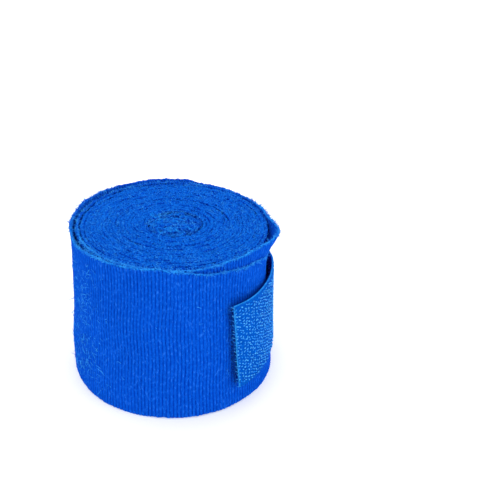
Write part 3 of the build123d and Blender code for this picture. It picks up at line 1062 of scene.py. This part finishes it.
def yarn_material(name, dark, light, rough, scale, twist=0.0):
    """Thread or filament: two shades of its colour along it, with an optional twist of its plies."""
    material = bpy.data.materials.new(name)
    shader, add = nodes_of(material)
    place = strip_place(add)
    grain = clouds(add, place, scale, 2.0)
    fill(shader, "Base Color", mixed(add, ranged(add, grain, 0.35, 0.65), dark, light))
    fill(shader, "Roughness", ranged(add, grain, 0.3, 0.7, rough - 0.1, rough + 0.1))
    if twist:
        slanted = {"bands_direction": "DIAGONAL"}
        wave = add("ShaderNodeTexWave", slanted, Vector=place, Scale=twist, Distortion=0.4).outputs[1]
        grain = plus(add, grain, wave)
    fill(shader, "Normal", relief(add, grain, 0.4, 0.0001))
    fill(shader, "Specular IOR Level", 0.03)
    return material


def floor_material():
    """Matt white paper."""
    material = bpy.data.materials.new("white_paper")
    shader, add = nodes_of(material)
    grain = add("ShaderNodeTexNoise", None, Scale=40.0, Detail=2.0).outputs[0]
    white = mixed(add, grain, (0.90, 0.90, 0.90, 1), (0.93, 0.93, 0.93, 1))
    fill(shader, "Base Color", white)
    fill(shader, "Roughness", 0.9)
    fill(shader, "Specular IOR Level", 0.1)
    fill(shader, "Emission Color", (1, 1, 1, 1))
    fill(shader, "Emission Strength", 0.2)
    return material


# ------ the studio


def build_floor():
    """A wide sheet of white paper under the roll."""
    half = 4.0
    corners = [(-half, -half, 0), (half, -half, 0), (half, half, 0), (-half, half, 0)]
    mesh = bpy.data.meshes.new("paper")
    mesh.from_pydata(corners, [], [(0, 1, 2, 3)])
    mesh.materials.append(floor_material())
    floor = bpy.data.objects.new("paper", mesh)
    bpy.context.scene.collection.objects.link(floor)


def axes_at(right, up, back, place):
    """The matrix of a light or camera with those three axes at that place."""
    rows = [[right[i], up[i], back[i], place[i]] for i in range(3)]
    return Matrix(rows + [[0, 0, 0, 1]])


def area_light(name, place, target, size, power):
    """A soft square light that faces its target."""
    light = bpy.data.lights.new(name, "AREA")
    light.size = size
    light.energy = power
    made = bpy.data.objects.new(name, light)
    back = np.subtract(place, target)
    back /= np.linalg.norm(back)
    right = np.cross([0, 0, 1.0], back)
    right /= np.linalg.norm(right)
    made.matrix_world = axes_at(right, np.cross(back, right), back, place)
    bpy.context.scene.collection.objects.link(made)


def build_light():
    """White surroundings, a soft light from above and weaker ones from the front."""
    world = bpy.data.worlds.new("white_room")
    world.use_nodes = True
    background = world.node_tree.nodes["Background"]
    background.inputs[0].default_value = (1.0, 1.0, 1.0, 1)
    background.inputs[1].default_value = 1.0
    bpy.context.scene.world = world
    middle = (0, 0, 0.025)
    area_light("left", (-0.45, -0.75, 0.75), middle, 0.8, 1.0)
    area_light("right", (0.8, -0.4, 0.5), middle, 0.5, 1.7)
    area_light("top", (-0.15, 0.3, 0.9), middle, 0.8, 2.4)
    bpy.context.scene.view_settings.view_transform = "Standard"


def build_camera():
    """The camera, in front of the roll, above it and turned a little to the right."""
    data = bpy.data.cameras.new("camera")
    data.lens = 52.46
    data.sensor_width = 36
    data.clip_start = 0.01
    camera = bpy.data.objects.new("camera", data)
    forward = np.array([0.10303, 0.86909, -0.48381])
    right = np.array([0.99466, -0.09308, 0.04461])
    place = (0.0, -0.199716, 0.150398)
    camera.matrix_world = axes_at(right, np.cross(right, forward), -forward, place)
    bpy.context.scene.collection.objects.link(camera)
    bpy.context.scene.camera = camera


def main():
    """Builds everything."""
    knit, tape = knit_material(), tape_material()
    yarns = yarn_material("light_nylon", (0.002, 0.21, 0.82, 1), (0.085, 0.49, 0.98, 1), 0.4, 1.3)
    # Painted shade: the hooks are dark, standing for the shadow under the tape and beside its tip.
    hooks = yarn_material("hook_nylon_painted_shade", (0.0, 0.012, 0.15, 1), (0.004, 0.11, 0.55, 1), 0.4, 1.2)
    thread = yarn_material("dark_thread", (0.0008, 0.018, 0.16, 1), (0.002, 0.045, 0.33, 1), 0.5, 3.0, 2.5)
    loop_tape = yarn_material("loop_weave", (0.001, 0.05, 0.36, 1), (0.003, 0.11, 0.66, 1), 0.6, 2.5, 1.6)
    fuzz = yarn_material("blue_fibre", (0.002, 0.14, 0.74, 1), (0.045, 0.40, 0.96, 1), 0.7, 0.5)
    build_inside(knit)
    build_loose_turns(knit)
    build_tail(knit)
    build_tape(tape, hooks, yarns)
    build_stitches(thread)
    build_thumb_loop(loop_tape, thread)
    rng = np.random.default_rng(51)
    edge_fuzz(fuzz, rng)
    core_fuzz(fuzz, rng)
    wall_fuzz(fuzz, rng)
    build_floor()
    build_light()
    build_camera()


main()
